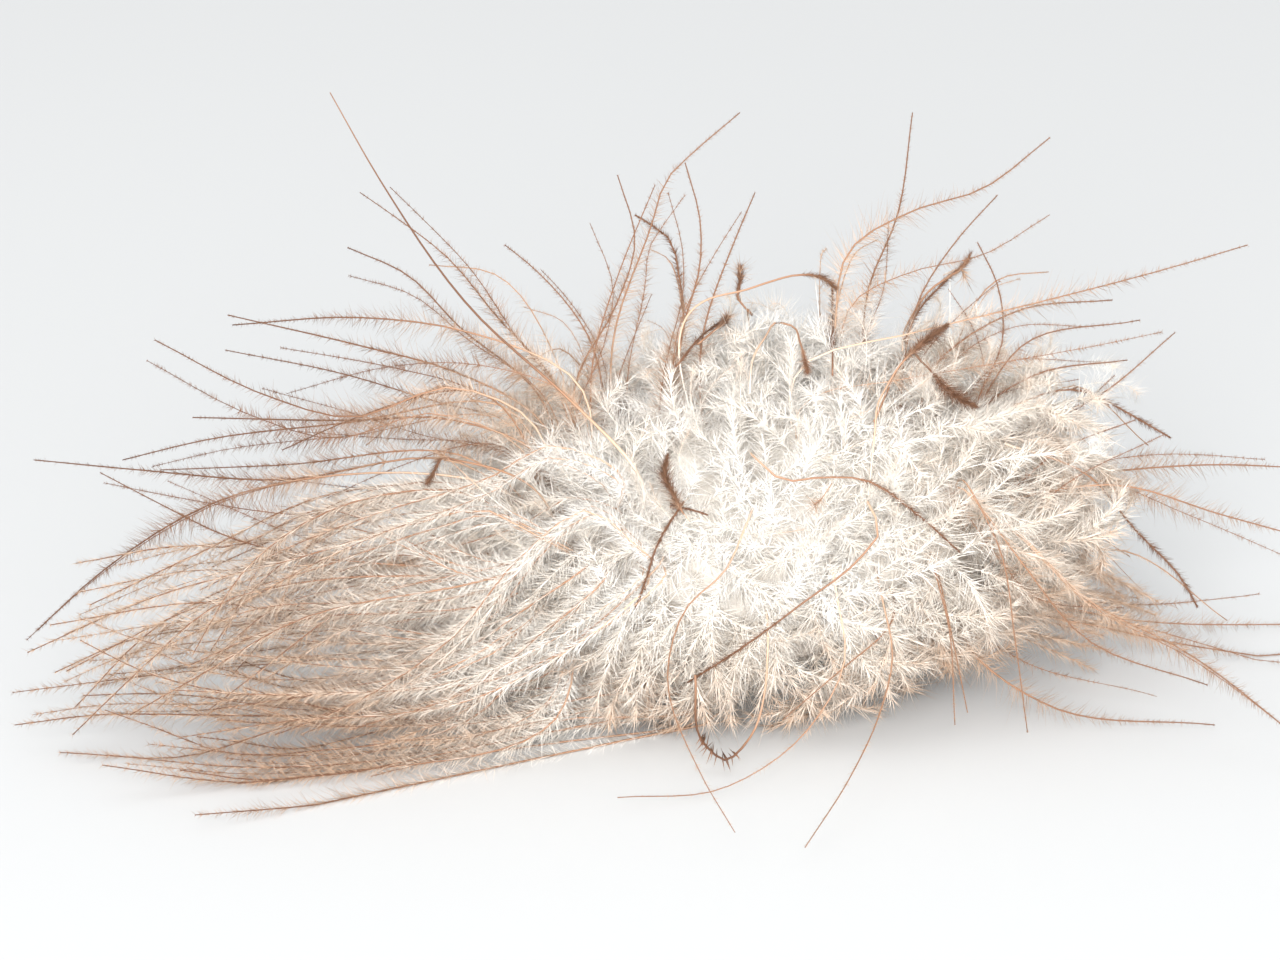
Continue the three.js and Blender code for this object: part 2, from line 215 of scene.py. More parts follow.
# Barbules in opposite pairs along each path, a pair being one closed spindle bent at the shaft.
# Way = cos(lean) along + or - sin(lean) (cos(turn) side + sin(turn) up), tip = point + length way.
# Where they grow and how long they are goes by the distance from the barb's tip. Their brownness
# is the barb's to the power fade, times tint.
def barbuleBlock(paths, brown, light, look):
    along, side, up = pathFrames(paths, look.get("facing", 0))
    steps = paths.shape[1]
    barbLengths = lengthsOf(paths)
    nearest, farthest = look["within"]
    stretch = np.minimum(farthest, barbLengths) - nearest
    barb = np.repeat(np.arange(len(paths)), (stretch * look["pairsPerMm"]).astype(int))
    n = len(barb)
    fromTip = nearest + stretch[barb] * rng.random(n)
    at = (1 - fromTip / barbLengths[barb]) * (steps - 1)
    i = np.clip(at.astype(int), 0, steps - 2)
    t = (at - i)[:, None]

    def between(field):
        return field[barb, i] * (1 - t) + field[barb, i + 1] * t

    point, forward, across, above = between(paths), unit(between(along)), between(side), between(up)
    turn = rng.normal(0, look["spread"], n)[:, None]
    out = unit(np.cos(turn) * across + np.sin(turn) * above)
    rise = np.cross(forward, out)
    vertices = np.empty((n, 5, 3))
    a = (np.arange(3) * 2 * np.pi / 3)[:, None]
    ring = np.cos(a) * forward[:, None] + np.sin(a) * rise[:, None]
    vertices[:, :3] = point[:, None] + look["radius"] * ring
    for tip, way in [(3, 1), (4, -1)]:
        unruly = look.get("unruly", variation["barbuleLean"])
        lean = (np.radians(look["lean"]) + rng.normal(0, unruly, n))[:, None]
        share = rng.uniform(*variation["barbuleLength"], n)
        length = (np.interp(fromTip, *zip(*look["length"])) * share)[:, None]
        bend = rng.normal(0, variation["barbuleBend"], (n, 3))
        vertices[:, tip] = point + length * (
            np.cos(lean) * forward + way * np.sin(lean) * out + bend)
    least = clear["barbuleTip"] + clear["tipMore"] * rng.random((n, 2))
    vertices[:, 3:, 2] = np.maximum(vertices[:, 3:, 2], least)
    vertices[:, :3, 2] = np.maximum(vertices[:, :3, 2], clear["barbuleRoot"])
    k = np.arange(n)[:, None] * 5
    turns = [[0, 1, 4], [1, 2, 4], [2, 0, 4], [1, 0, 3], [2, 1, 3], [0, 2, 3]]
    faces = np.concatenate([k + corner for corner in turns])
    barbBrown = np.clip(between(brown[:, :, None])[:, 0], 0, 1)
    ownBrown = barbBrown ** look.get("fade", 1.0) * look["tint"]
    ownBrown += rng.normal(0, variation["barbuleBrown"], n)
    u = ownBrown[:, None] + np.array([*apart["barbuleBrown"], look["paler"], look["paler"]])
    ownLight = light[barb] + rng.normal(0, variation["barbuleLight"], n)
    v = ownLight[:, None] + np.array(apart["barbuleLight"])
    place = np.stack([u, v], -1).reshape(-1, 2)
    return {"vertices": vertices.reshape(-1, 3), "faces": [faces], "place": place}


# The point of the feather's inner shaft nearest to a point: from + share (to - from), the share
# being how far along the shaft the point lies, kept from 0 to 1.
def shaftPoint(shown):
    line = mass["shaftTo"] - mass["shaftFrom"]
    share = np.clip((shown - mass["shaftFrom"]) @ line / (line @ line), 0, 1)
    return mass["shaftFrom"] + share * line


# Routes in the picture become paths in space that all start on the inner shaft. A route is
# (root depth, tip depth, points), or (lift, points) where the barb lies on the mass. A lying
# barb comes up out of the mass along the line of sight, so its root stays hidden behind it.
def tracedPaths(routes, steps):
    paths = []
    for *depths, points in routes:
        across, up = np.array(points, float).T
        if len(depths) == 1:
            shown = onMass(across, up, depths[0])
            shown = np.vstack([shown[0] + unit(shown[0] - eye) * mass["rootDepth"], shown])
        else:
            run = np.concatenate([[0], np.cumsum(np.hypot(np.diff(across), np.diff(up)))])
            shown = atDepth(across, up, depths[0] + (depths[1] - depths[0]) * run / run[-1])
        paths.append(smoothPath(np.vstack([shaftPoint(shown[0]), shown]), steps))
    return onTable(np.array(paths))


# Companions are copies that wander off and can end sooner: copy = path + fan share^fanPower
# + bend sin(pi share), fan and bend being random offsets, then drawn in towards its root.
def withCompanions(paths, group):
    sets = [paths]
    share = np.linspace(0, 1, paths.shape[1])[None, :, None]
    one = (len(paths), 1, 3)
    for _ in range(group["companions"]):
        fan = rng.normal(size=one) * group["wander"]
        bend = rng.normal(size=one) * group["wander"] * variation["bendShare"]
        copy = paths + fan * share ** variation["fanPower"] + bend * np.sin(np.pi * share)
        start = copy[:, :1]
        kept = rng.uniform(*variation["companionLength"], (len(paths), 1, 1))
        sets.append(start + (copy - start) * kept)
    return onTable(np.concatenate(sets))


# Paths kept from sinking into the table: no point is lower than lowest.
def onTable(paths):
    paths[:, :, 2] = np.maximum(paths[:, :, 2], mass["lowest"])
    return paths


# Extra brownness by place: for each (axis, from, to, most) it grows along the axis to the most.
# It is partly tan in the barbs' own colour and partly painted shade, where it browns the white
# down and the deep body towards the bottom.
def tanAndShadeAt(points, group):
    return sum(most * np.clip((points[..., axis] - start) / (end - start), 0, 1)
               for axis, start, end, most in group.get("tanAndShade", []))


# How brown each barb is, by stops of (distance from its tip, brownness), shifted a little from
# barb to barb, plus its own share where the group is varied, and browned by place, as tan
# colour or as painted shade.
def brownAlong(paths, group):
    shift = rng.normal(0, variation["barbShift"], (len(paths), 1))
    share = np.linspace(0, 1, paths.shape[1])[None, :] + shift
    fromTip = (1 - share) * lengthsOf(paths)[:, None]
    own = np.abs(rng.normal(0, group.get("varied", 0), (len(paths), 1)))
    return np.interp(fromTip, *zip(*group["brown"])) + own + tanAndShadeAt(paths, group)


# Each barb's own lightness, a random number between the two of barbLight.
def lightOf(paths):
    return rng.uniform(*variation["barbLight"], len(paths))


# Down material: the colour of the ramp at the map's U, times the lightness at its V.
def downMaterial(name):
    material = bpy.data.materials.new(name)
    material.use_nodes = True
    nodes, links = material.node_tree.nodes, material.node_tree.links
    nodes.clear()
    place = nodes.new("ShaderNodeUVMap")
    place.uv_map = "OFBake"
    split = nodes.new("ShaderNodeSeparateXYZ")
    links.new(place.outputs["UV"], split.inputs[0])
    ramp = nodes.new("ShaderNodeValToRGB")
    stops = colours["stops"]
    ramp.color_ramp.elements[0].position = stops[0][0]
    ramp.color_ramp.elements[0].color = (*stops[0][1], 1)
    ramp.color_ramp.elements[1].position = stops[-1][0]
    ramp.color_ramp.elements[1].color = (*stops[-1][1], 1)
    for at, colour in stops[1:-1]:
        ramp.color_ramp.elements.new(at).color = (*colour, 1)
    links.new(split.outputs["X"], ramp.inputs["Fac"])
    lightness = nodes.new("ShaderNodeMapRange")
    lightness.inputs["To Min"].default_value = colours["darkest"]
    lightness.inputs["To Max"].default_value = 1.0
    links.new(split.outputs["Y"], lightness.inputs["Value"])
    shade = nodes.new("ShaderNodeMix")
    shade.data_type = "RGBA"
    shade.blend_type = "MULTIPLY"
    shade.inputs["Factor"].default_value = 1.0
    links.new(ramp.outputs["Color"], shade.inputs["A"])
    links.new(lightness.outputs["Result"], shade.inputs["B"])
    surface = nodes.new("ShaderNodeBsdfPrincipled")
    surface.inputs["Roughness"].default_value = colours["roughness"]
    surface.inputs["Specular IOR Level"].default_value = colours["specular"]
    links.new(shade.outputs["Result"], surface.inputs["Base Color"])
    output = nodes.new("ShaderNodeOutputMaterial")
    links.new(surface.outputs[0], output.inputs["Surface"])
    return material


# White, cream, tan, orange brown, brown and dark brown, by how brown the barb is there, times a
# lightness that goes from darkest to one.
colours = {
    "stops": [
        (0.0, (0.985, 0.978, 0.96)),
        (0.2, (0.935, 0.87, 0.785)),
        (0.42, (0.64, 0.455, 0.325)),
        (0.62, (0.34, 0.185, 0.11)),
        (0.82, (0.155, 0.07, 0.036)),
        (1.0, (0.07, 0.03, 0.016)),
    ],
    "darkest": 0.5,
    "roughness": 0.6,
    "specular": 0.35,
}
down = downMaterial("down")

# In each group of barbs here, brown holds stops of (distance from the tip, brownness), and tanned
# adds brownness along an axis, as the barbs' own tan or, for the white down, as painted shade
# towards the bottom. A shaft's root and tip are radii, and deepen is the power that makes it
# browner. The fuzz is its barbules: within is the stretch that bears them, lean their angle to
# the barb in degrees, unruly how much that varies, spread how far round the barb the pairs turn
# in radians, facing how much they spread to both sides in the picture, paler what their tips add
# to the brownness, and length has stops of (distance from the tip, length).

# The brown brush on the left, from the topmost strands to those that lie on the table.
brush = {
    "routes": [
        (-7.5, -7.0, [(-4.2, 9.3), (-5.8, 9.8), (-8.4, 8.5), (-13.1, 7.0), (-16.0, 5.9), (-20.0, 4.0)]),
        (-8.0, -7.0, [(-6.6, 6.2), (-8.6, 7.2), (-11.2, 6.7), (-16.0, 5.3), (-21.9, 3.7), (-26.9, 1.5)]),
        (-9.0, -9.5, [(-2.6, 5.8), (-4.4, 7.2), (-6.9, 5.6), (-9.9, 2.1), (-14.0, -0.6), (-17.0, -1.8)]),
        (-7.0, -5.0, [(-9.0, 4.5), (-14.5, 6.5), (-18.4, 4.8), (-19.9, 4.8), (-24.9, 3.9)]),
        (-6.0, -8.0, [(-9.9, 4.4), (-12.5, 4.1), (-15.8, 3.2), (-19.8, 3.5), (-26.0, 2.6)]),
        (-6.0, -9.0, [(-11.2, 8.0), (-14.5, 7.3), (-18.2, 4.8), (-19.8, 2.3), (-20.3, 1.4)]),
        (-4.0, -6.0, [(-11.0, 8.2), (-14.5, 7.9), (-20.2, 5.4), (-24.4, 3.4)]),
        (-5.0, -6.0, [(-9.0, 3.6), (-14.5, 2.9), (-19.3, 2.5), (-22.8, 2.0), (-25.8, 0.7)]),
        (-5.0, -8.0, [(-12.0, 5.4), (-17.5, 4.6), (-21.9, 2.4), (-25.0, -0.7)]),
        (-6.0, -9.5, [(-10.5, 4.6), (-15.2, 4.4), (-19.3, 3.4), (-22.4, 0.8), (-25.1, -1.8)]),
        (-7.0, -9.0, [(-10.5, 0.6), (-14.5, -0.2), (-18.9, -0.1), (-22.4, 0.8), (-24.8, 2.0)]),
        (-4.0, -3.0, [(-9.0, 1.6), (-15.4, 1.2), (-21.8, 0.6), (-27.5, -0.1)]),
        (-8.0, -7.0, [(-10.0, -0.4), (-15.0, -1.0), (-20.0, -1.0), (-24.2, -1.0), (-27.4, -1.4)]),
        (-8.0, -9.5, [(-9.4, 4.2), (-16.3, 2.7), (-19.8, 0.7), (-22.8, -1.0)]),
        (-8.0, -9.0, [(-9.6, -1.4), (-15.0, -2.4), (-19.0, -2.5), (-21.8, -1.5), (-23.8, -0.8)]),
        (-8.0, -8.0, [(-9.0, 1.4), (-14.5, -0.8), (-17.6, -1.8), (-20.2, -2.6), (-25.6, -2.5)]),
        (-4.5, -12.0, [(0.6, -0.4), (-5.6, -1.2), (-11.9, -2.7), (-17.6, -3.1), (-23.7, -2.6)]),
        (-3.8, -12.5, [(0.4, -0.9), (-5.6, -2.6), (-14.5, -3.5), (-18.4, -3.7), (-23.9, -3.0)]),
        (-8.0, -11.5, [(-6.0, -1.4), (-14.5, -3.3), (-17.6, -3.6), (-20.8, -3.2)]),
        (-9.3, -9.5, [(-2.6, 3.6), (-6.9, 0.6), (-9.5, -0.5), (-12.5, -1.0), (-16.0, -1.2), (-20.8, -1.9)]),
        (-8.0, -10.0, [(-8.6, 1.3), (-12.5, 0.0), (-16.0, -0.2), (-21.2, 0.0)]),
        (-8.0, -10.0, [(-4.3, 3.9), (-6.4, 2.2), (-8.9, 0.2), (-14.0, -1.6)]),
        (-6.5, -9.0, [(-9.0, 3.3), (-11.7, 3.1), (-16.0, 2.8), (-20.4, 1.0)]),
        (-6.5, -5.0, [(-10.5, 2.2), (-13.8, 2.8), (-16.0, 3.3), (-19.2, 4.6)]),
        (-3.8, -15.0, [(0.6, -1.2), (-2.5, -2.2), (-8.2, -3.4), (-14.5, -4.5), (-20.2, -5.0)]),
    ],
    "outer": 50,  # strands in the outer piece, with the traced ones first
    "companions": 3,
    "wander": 0.9,
    "steps": 24,
    "brown": [(0, 0.34), (8, 0.23), (16, 0.13), (24, 0.09)],
    "tanAndShade": [(0, -4.0, -15.0, 0.2), (2, 3.5, 1.0, 0.12)],
    "shaft": {"sides": 4, "root": 0.06, "tip": 0.02, "stoutest": 25, "others": 0.5, "deepen": 0.35},
    "fuzz": {
        "within": (0, 21), "pairsPerMm": 18, "lean": 42, "spread": 0.9, "radius": 0.013, "tint": 1.0,
        "fade": 1.2, "paler": -0.06, "facing": 1.0,
        "length": [(0, 0.25), (2, 0.5), (6, 0.95), (11, 1.3), (16, 1.2), (21, 0.5)],
    },
}

# Barbs that reach out of the mass by themselves: upper left, top, right and front.
reaching = {
    "routes": [
        (-1.0, 1.0, [(-6.0, 12.6), (-8.1, 14.9), (-10.0, 17.2), (-12.3, 19.0), (-13.6, 19.9)]),
        (0.0, 3.0, [(-6.6, 12.0), (-9.6, 14.5), (-11.7, 16.6), (-14.1, 17.7)]),
        (-1.0, -2.0, [(-6.4, 10.8), (-10.0, 12.8), (-13.3, 13.7), (-18.9, 15.0)]),
        (-3.0, 1.0, [(-5.2, 12.6), (-9.6, 14.4), (-13.6, 14.9), (-18.7, 14.6)]),
        (2.0, 5.0, [(-7.0, 10.4), (-10.8, 11.6), (-14.1, 12.6), (-19.0, 13.6)]),
        (-4.0, -7.0, [(-7.8, 11.5), (-9.8, 12.1), (-14.0, 10.9), (-17.4, 11.8), (-21.8, 14.0)]),
        (-3.0, -5.0, [(-6.8, 9.7), (-10.6, 10.9), (-13.4, 10.8), (-20.3, 10.9)]),
        (-2.0, -1.0, [(-8.0, 11.4), (-14.0, 10.7), (-19.8, 10.0), (-23.1, 9.2)]),
        (-4.0, -6.0, [(-9.4, 12.0), (-14.0, 10.8), (-16.7, 9.6)]),
        (-3.0, -6.0, [(-10.0, 9.2), (-16.9, 8.4), (-22.4, 8.8), (-26.6, 9.2)]),
        (-3.0, -3.0, [(-9.6, 9.4), (-16.7, 9.0), (-21.6, 8.8)]),
        (-6.0, -7.0, [(-12.0, 5.0), (-18.8, 6.1), (-21.9, 7.6), (-24.0, 8.7)]),
        (-5.0, -3.0, [(-9.0, 8.4), (-14.5, 8.6), (-18.9, 7.7), (-24.1, 4.6), (-26.5, 2.4)]),
        (1.0, 4.0, [(-4.6, 14.4), (-6.8, 17.0), (-7.8, 17.8)]),
        (1.0, 3.0, [(-3.4, 14.4), (-2.0, 18.4), (-1.2, 20.6), (-0.6, 21.2), (1.6, 23.1)]),
        (-1.0, 0.0, [(-1.0, 13.2), (-0.6, 14.8), (0.0, 17.0), (0.0, 18.8), (-0.6, 21.1)]),
        (-1.0, 0.0, [(-4.8, 12.8), (-3.4, 15.3), (-2.6, 18.0), (-3.3, 20.6)]),
        (-1.0, 1.0, [(-4.2, 13.6), (-3.2, 16.8), (-1.8, 20.2)]),
        (0.0, 2.0, [(0.2, 14.6), (1.4, 18.0), (2.2, 19.9)]),
        (1.0, -1.0, [(5.4, 14.4), (6.0, 17.6), (8.6, 19.2), (11.2, 20.0), (14.0, 22.1)]),
        (2.0, 3.0, [(6.5, 13.4), (6.7, 15.9), (7.9, 19.0), (8.5, 23.1)]),
        (0.0, 1.0, [(8.2, 13.4), (8.8, 15.7), (10.2, 17.9), (11.9, 19.8)]),
        (-1.0, 0.0, [(11.2, 11.8), (12.1, 14.0), (11.9, 16.2), (11.1, 17.9)]),
        (-3.0, -4.0, [(4.4, 13.2), (8.6, 14.3), (13.9, 15.6), (18.5, 16.8), (21.9, 17.8)]),
        (-1.0, 0.0, [(9.4, 13.0), (12.8, 15.2), (16.5, 15.6)]),
        (0.0, 2.0, [(11.2, 11.4), (12.8, 13.7), (17.6, 14.8)]),
        (1.0, 3.0, [(12.6, 10.2), (16.0, 11.8), (19.0, 14.3)]),
        (0.0, 1.0, [(11.0, 11.0), (13.4, 12.6), (17.1, 13.2)]),
        (-2.0, -2.0, [(12.0, 7.6), (14.4, 9.6), (17.4, 10.8)]),
        (2.0, 4.0, [(13.0, 8.2), (17.1, 8.8), (20.0, 9.0), (25.6, 8.8)]),
        (-2.0, -1.0, [(12.4, 7.6), (16.6, 8.2), (20.9, 7.0), (26.0, 5.6)]),
        (-7.0, -6.0, [(11.0, 7.6), (12.8, 5.2), (15.5, 2.0), (20.3, 0.2)]),
        (-5.5, -10.0, [(12.6, 6.4), (15.5, 3.6), (19.3, 1.6), (24.8, -2.6)]),
        (3.0, 7.0, [(12.0, 4.0), (16.6, 2.9), (25.4, 2.6)]),
        (0.0, 4.0, [(12.0, 3.8), (16.6, 2.4), (24.6, 1.0)]),
        (-4.0, -5.0, [(11.0, 1.4), (13.9, -0.6), (20.6, -1.4)]),
    ],
    "companions": 1,
    "wander": 1.0,
    "steps": 22,
    "brown": [(0, 0.79), (7, 0.71), (12, 0.56), (17, 0.42), (22, 0.29), (28, 0.1)],
    "tanAndShade": [(0, -6.0, -16.0, 0.1)],
    "shaft": {"sides": 4, "root": 0.055, "tip": 0.022, "stoutest": 36, "others": 0.55},
    "fuzz": {
        "within": (0, 14), "pairsPerMm": 20, "lean": 55, "spread": 0.6, "radius": 0.0105, "tint": 0.95,
        "fade": 1.5, "paler": -0.08, "facing": 2.0,
        "length": [(0, 0.12), (3, 0.2), (5, 0.55), (8, 1.15), (14, 1.4)],
    },
}

# Barbs that come forward over the mass and down to the table in front of it.
front = {
    "routes": [
        (-8.0, -18.6, [(1.8, 6.5), (1.1, 4.9), (-0.6, 3.2), (-1.3, 0.6), (0.0, -3.3), (1.4, -5.7)]),
        (-8.0, -18.6, [(7.3, 3.6), (7.7, 1.4), (7.2, -0.9), (6.0, -3.5), (4.2, -6.3)]),
        (-8.2, -13.0, [(5.5, 3.6), (5.8, 1.3), (4.3, -1.6), (1.0, -3.9), (-3.3, -4.3)]),
        (-8.0, -11.0, [(7.2, 2.1), (6.0, 1.1), (3.3, -1.2)]),
        (-7.8, -10.0, [(9.6, 4.0), (9.9, 2.8), (10.2, -1.4)]),
        (-7.8, -10.0, [(9.9, 3.0), (10.4, 0.6), (10.7, -0.9)]),
        (-7.2, -9.5, [(11.0, 7.7), (12.0, 5.6), (12.6, 2.0), (13.1, -1.7)]),
        (-8.0, -9.8, [(-2.0, 4.6), (-4.3, 2.5), (-6.9, 0.6), (-9.5, -0.5), (-12.5, -1.0)]),
    ],
    "steps": 30,
    "brown": [(0, 0.75), (8, 0.68), (13, 0.5), (18, 0.25)],
    "shaft": {"sides": 4, "root": 0.05, "tip": 0.02},
    "fuzz": {
        "within": (0, 10), "pairsPerMm": 12, "lean": 55, "spread": 0.4, "radius": 0.008, "tint": 0.7,
        "paler": -0.08, "facing": 3.0, "length": [(0, 0.1), (4, 0.22), (10, 0.5)],
    },
}

# The curled barb at the lower front, dark at its bend, with a comb of straight barbules.
curl = {
    "routes": [(-8.8, -9.6, [(2.7, 1.4), (2.6, 0.0), (2.0, -1.9), (1.0, -2.8), (0.2, -2.2), (-0.2, 0.6)])],
    "steps": 40,
    "brown": [(0, 0.66), (1.5, 0.86), (3.8, 0.92), (5.5, 0.6), (10, 0.42), (15, 0.1)],
    "shaft": {"sides": 5, "root": 0.04, "tip": 0.05},
    "fuzz": {
        "within": (2.7, 5.0), "pairsPerMm": 11, "lean": 86, "spread": 0.15, "radius": 0.034,
        "tint": 0.9, "paler": -0.1, "unruly": 0.06, "facing": 9.0,
        "length": [(2.7, 0.35), (3.3, 0.7), (4.4, 0.7), (5.0, 0.35)],
    },
}

# The long smooth barb at the upper left, bare and dark.
bare = {
    "routes": [(-7.5, -4.0, [(-3.0, 9.4), (-5.2, 11.6), (-9.2, 15.3), (-12.8, 20.4), (-14.8, 23.9)])],
    "steps": 30,
    "brown": [(0, 0.7), (5, 0.86), (12, 0.78), (17, 0.45), (21, 0.15)],
    "shaft": {"sides": 6, "root": 0.085, "tip": 0.02},
}

# Brown barbs lying on the mass.
lying = {
    "routes": [
        (1.3, [(2.2, 9.3), (3.3, 8.4), (4.8, 8.5), (6.6, 8.4), (8.6, 7.1), (10.4, 5.5)]),
        (1.4, [(6.8, 7.3), (7.2, 6.4), (6.6, 5.5), (4.0, 3.4), (1.4, 1.5), (-0.5, 0.3)]),
        (1.5, [(-0.8, 7.3), (-1.4, 6.4), (-1.8, 5.6), (-2.1, 4.6), (-2.6, 3.2)]),
        (1.2, [(-0.8, 7.3), (-0.3, 7.2), (0.3, 7.0)]),
        (1.0, [(5.3, 12.6), (5.3, 14.6), (5.3, 16.1)]),
        (1.0, [(-0.9, 13.0), (-0.1, 14.0), (1.1, 14.9)]),
        (1.0, [(7.0, 10.8), (7.9, 12.8), (9.8, 14.6)]),
        (0.8, [(12.6, 11.4), (15.5, 11.9), (17.6, 10.8), (18.8, 10.1)]),
        (0.8, [(12.3, 9.8), (15.2, 8.8), (17.6, 6.2), (19.3, 4.4), (19.9, 3.3)]),
        (1.0, [(8.2, 14.0), (8.9, 15.4), (10.8, 17.3)]),
        (1.2, [(-0.8, 13.6), (-0.8, 16.3), (-1.2, 18.0), (-2.6, 19.0)]),
    ],
    "steps": 26,
    "brown": [(0, 0.82), (4, 0.77), (9, 0.6), (13, 0.28)],
    "shaft": {"sides": 5, "root": 0.055, "tip": 0.034},
    "fuzz": {
        "within": (0, 5), "pairsPerMm": 40, "lean": 40, "spread": 0.7, "radius": 0.014, "tint": 1.0,
        "paler": -0.05, "facing": 3.0, "length": [(0, 0.12), (1, 0.32), (3.5, 0.42), (5, 0.25)],
    },
}

# Dark leaf-shaped ends, where short barbules lie close along the shaft.
leaves = {
    "routes": [
        (2.2, [(-0.8, 7.3), (-1.1, 7.9), (-1.4, 8.6), (-1.3, 9.4)]),
        (-7.6, -4.6, [(7.0, 10.4), (7.1, 11.4), (7.5, 12.2), (8.0, 13.0), (8.6, 13.6), (9.9, 14.6)]),
        (2.4, [(8.8, 13.2), (9.2, 12.8), (9.8, 12.1), (10.5, 11.6), (11.1, 11.3)]),
    ],
    "steps": 44,
    "brown": [(0, 0.84), (1.8, 0.8), (2.6, 0.62), (6, 0.48), (11, 0.1)],
    "shaft": {"sides": 5, "root": 0.035, "tip": 0.04},
    "fuzz": {
        "within": (0, 2.4), "pairsPerMm": 190, "lean": 30, "spread": 1.0, "radius": 0.014, "tint": 0.97,
        "paler": -0.1, "unruly": 0.4, "facing": 1.5,
        "length": [(0, 0.12), (0.9, 0.66), (1.5, 0.72), (2.4, 0.3)],
    },
}

# Smaller dark knots of the same kind, and the arched barbs that end in them.
knots = {
    "routes": [
        (1.0, [(1.9, 15.2), (1.5, 15.7), (1.6, 16.3), (1.6, 16.9)]),
        (-2.0, -1.5, [(0.5, 15.7), (1.8, 16.0), (2.7, 16.3), (3.9, 16.6), (4.9, 16.5), (5.4, 16.1)]),
        (1.1, [(0.0, 13.9), (0.6, 14.4), (1.1, 14.9)]),
        (1.3, [(2.0, 12.0), (2.1, 13.2), (2.6, 14.1), (3.2, 14.7), (3.6, 14.6), (4.0, 13.9), (4.3, 12.7)]),
        (0.9, [(8.1, 13.6), (8.5, 15.0), (9.2, 16.0), (9.9, 16.5), (10.5, 16.9), (10.8, 17.4)]),
        (-8.2, -7.8, [(-8.8, 9.0), (-9.8, 9.2), (-10.3, 9.3), (-10.6, 8.8), (-10.9, 8.3)]),
    ],
    "steps": 44,
    "brown": [(0, 0.8), (1.0, 0.8), (1.7, 0.66), (5, 0.56), (8, 0.4), (12, 0.1)],
    "shaft": {"sides": 5, "root": 0.035, "tip": 0.045},
    "fuzz": {
        "within": (0, 1.6), "pairsPerMm": 130, "lean": 28, "spread": 1.6, "radius": 0.013, "tint": 0.97,
        "paler": -0.12, "unruly": 0.2, "facing": 1.5,
        "length": [(0, 0.3), (0.7, 0.5), (1.6, 0.2)],
    },
}

# Small sprays of thin brown barbules at the foot or head of some of the knots.
sprays = {
    "routes": [
        (1.6, [(-0.6, 7.0), (-0.8, 7.3), (-0.9, 7.6)]),
        (1.0, [(1.6, 16.2), (1.6, 16.6), (1.6, 16.9)]),
        (1.0, [(4.6, 16.5), (5.0, 16.4), (5.4, 16.1)]),
        (1.1, [(0.5, 14.3), (0.9, 14.6), (1.1, 14.9)]),
        (1.4, [(5.1, 8.0), (4.9, 7.7), (4.6, 7.4)]),
        (1.6, [(9.9, 12.2), (9.6, 12.5), (9.2, 12.9)]),
        (-8.2, -7.8, [(-9.9, 9.1), (-10.1, 9.3), (-10.4, 9.4)]),
        (0.9, [(10.0, 16.7), (10.4, 16.9), (10.6, 16.5)]),
    ],
    "steps": 40,
    "brown": [(0, 0.58), (1, 0.48), (3, 0.2), (6, 0.05)],
    "shaft": {"sides": 4, "root": 0.02, "tip": 0.02},
    "fuzz": {
        "within": (0, 0.5), "pairsPerMm": 60, "lean": 50, "spread": 1.6, "radius": 0.012, "tint": 0.95,
        "paler": -0.14, "unruly": 0.5, "length": [(0, 0.8), (0.5, 0.7)],
    },
}

# The tan tuft at the right end, behind the last of the white down.
rightTuft = {
    "routes": [
        (1.5, 3.5, [(11.6, 4.8), (15.0, 4.1), (18.2, 3.0)]),
        (1.0, 3.0, [(11.6, 5.6), (15.2, 5.0), (17.8, 3.8)]),
        (0.5, 2.0, [(11.6, 3.6), (15.0, 2.8), (17.6, 2.2)]),
        (0.0, 1.0, [(11.0, 2.8), (13.6, 2.2), (16.2, 1.6)]),
    ],
    "companions": 3,
    "wander": 0.5,
    "steps": 16,
    "brown": [(0, 0.5), (3, 0.42), (6, 0.25), (10, 0.05)],
    "shaft": {"sides": 4, "root": 0.03, "tip": 0.012},
    "fuzz": {
        "within": (0, 6), "pairsPerMm": 34, "lean": 40, "spread": 1.2, "radius": 0.011, "tint": 0.95,
        "paler": -0.1, "facing": 1.0, "length": [(0, 0.5), (2, 0.9), (6, 1.2)],
    },
}

# The far side, which the photo doesn't show: barbs like the others, in three rows one above
# the other, that arch out to a wide oval.
back = {
    "rows": [
        {"count": 6, "turn": (18, 162), "height": 1.2, "lift": 2.0, "reach": (23.0, 16.3)},
        {"count": 5, "turn": (30, 150), "height": 8.0, "lift": 3.5, "reach": (21.0, 15.3)},
        {"count": 4, "turn": (42, 138), "height": 15.5, "lift": 2.5, "reach": (18.0, 11.3)},
    ],
    "rootShare": 0.72,
    "rootRise": 0.4,
    "middle": 0.55,
    "shorter": 0.88,
    "companions": 1,
    "wander": 1.0,
    "steps": 22,
    "brown": [(0, 0.62), (7, 0.56), (12, 0.4), (17, 0.18), (22, 0.03)],
    "shaft": {"sides": 4, "root": 0.05, "tip": 0.02, "stoutest": 15, "others": 0.55},
    "fuzz": {
        "within": (0, 13), "pairsPerMm": 13, "lean": 50, "spread": 0.6, "radius": 0.009, "tint": 0.95,
        "fade": 1.5, "paler": -0.08, "length": [(0, 0.12), (3, 0.2), (5, 0.55), (8, 1.15), (14, 1.4)],
    },
}

# Down too deep to be told apart: one closed body with lumps and a rough grain, which shows
# only between the plumes. Its colour is painted shade: darker and browner than the white down,
# for the shade deep between the plumes.
deep = {
    "share": 0.69,
    "around": 200,
    "rows": 90,
    "lumps": 0.035,
    "wavesAround": (12, 3, 5),
    "wavesUp": (9, 3, 3),
    "grain": 0.008,
    # brown and light make this body browner and darker than the white down: painted shade between the
    # plumes.
    "brown": 0.16,
    "light": 0.32,
    "mottle": (0.03, 0.15),  # the most that brownness and lightness add at random
    # Browner towards the bottom along Z: painted shade on the underside; along X the down's own tan at both
    # ends.
    "tanAndShade": [(0, -3.0, -11.0, 0.08), (0, 7.0, 13.0, 0.1), (2, 5.0, 2.0, 0.08)],
}

